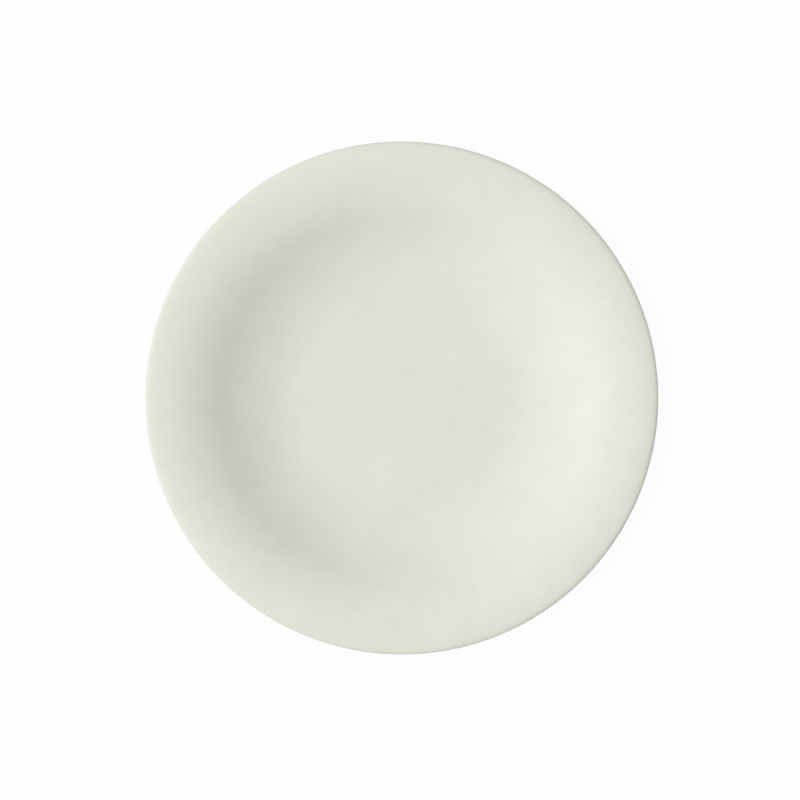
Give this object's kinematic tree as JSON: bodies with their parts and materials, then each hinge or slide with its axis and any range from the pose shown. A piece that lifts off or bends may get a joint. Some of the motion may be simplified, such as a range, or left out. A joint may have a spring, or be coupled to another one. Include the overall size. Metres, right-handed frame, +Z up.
{
  "type": "flat plate",
  "caption": "Round ivory-glazed ceramic dinner plate: flat floor, S-shaped wall, broad rounded rim with a drooping lip, and a foot ring wiped bare to stand on.",
  "frame": {"origin": "on the plate's axis, in the plane that the foot ring stands on", "axes": "+Z up along the plate's axis, out of the well; X and Y lie in the standing plane and are free, because the plate is round"},
  "size_m": [0.27, 0.27, 0.0247],
  "materials": {
    "fired_body": "matte",
    "ivory_glaze": "satin"
  },
  "bodies": {
    "root": {"ceramic_body": "fired_body", "glaze_coat": "ivory_glaze", "base_glaze": "ivory_glaze"}
  },
  "joints": []
}
